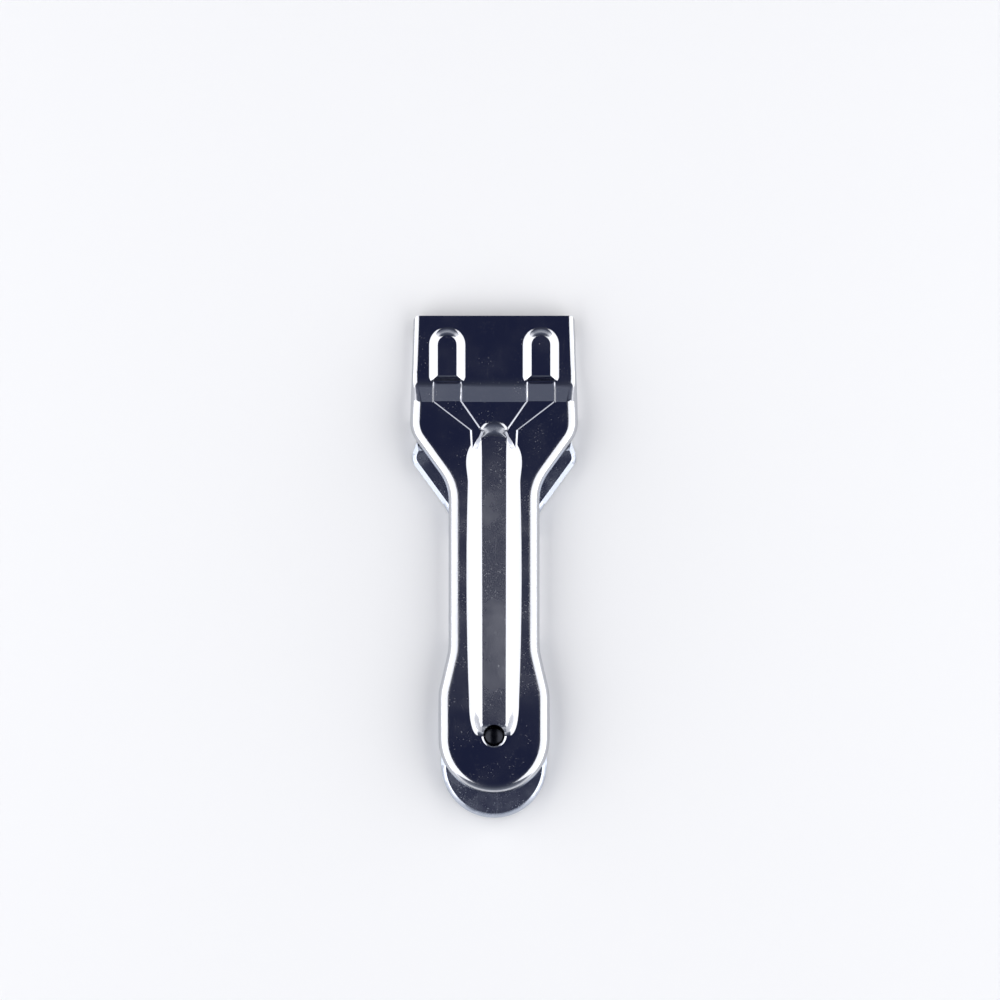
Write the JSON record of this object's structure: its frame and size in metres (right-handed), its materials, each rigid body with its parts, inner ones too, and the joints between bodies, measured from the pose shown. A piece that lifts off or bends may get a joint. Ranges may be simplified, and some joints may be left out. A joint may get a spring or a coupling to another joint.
{
  "type": "ceramic hob scraper",
  "caption": "Ceramic hob scraper of pressed plated steel: a ridged outer shell over a sliding inner tray that carries a clamped razor blade, with a sprung catch stud.",
  "frame": {"origin": "centre of the footprint on the surface that the tool lies on, blade drawn in", "axes": "+Y from the tail to the blade edge, +X across the tool, +Z out of its face with the ridge"},
  "size_m": [0.048, 0.1436, 0.0133],
  "materials": {
    "plated_shell": "bright nickel-chrome plating on pressed steel",
    "plated_tray": "bright nickel-chrome plating on pressed steel",
    "blade_steel": "ground carbon steel, honed bevel",
    "clamp_steel": "zinc-plated sheet",
    "screw_steel": "zinc-plated steel",
    "rivet_steel": "nickel-plated steel",
    "spring_steel": "hardened strip, oiled",
    "stud_steel": "turned and blackened steel"
  },
  "bodies": {
    "shell": {"outer_shell": "plated_shell"},
    "tray": {"inner_tray": "plated_tray", "blade": "blade_steel", "blade_pins": "rivet_steel", "clamp_plate": "clamp_steel", "clamp_screw": "screw_steel", "spring_washer": "screw_steel", "clamp_nut": "screw_steel", "catch_spring": "spring_steel", "spring_rivets": "rivet_steel"},
    "stud": {"catch_stud": "stud_steel"}
  },
  "joints": [
    {"name": "tray_slide", "type": "slide", "parent": "shell", "child": "tray", "axis": [0, 1, 0], "range_m": [0, 0.0069]},
    {"name": "stud_press", "type": "slide", "parent": "tray", "child": "stud", "axis": [0, 0, -1], "range_m": [0, 0.0009], "stiffness_N_per_m": 1500, "deforming": ["catch_spring"]}
  ]
}
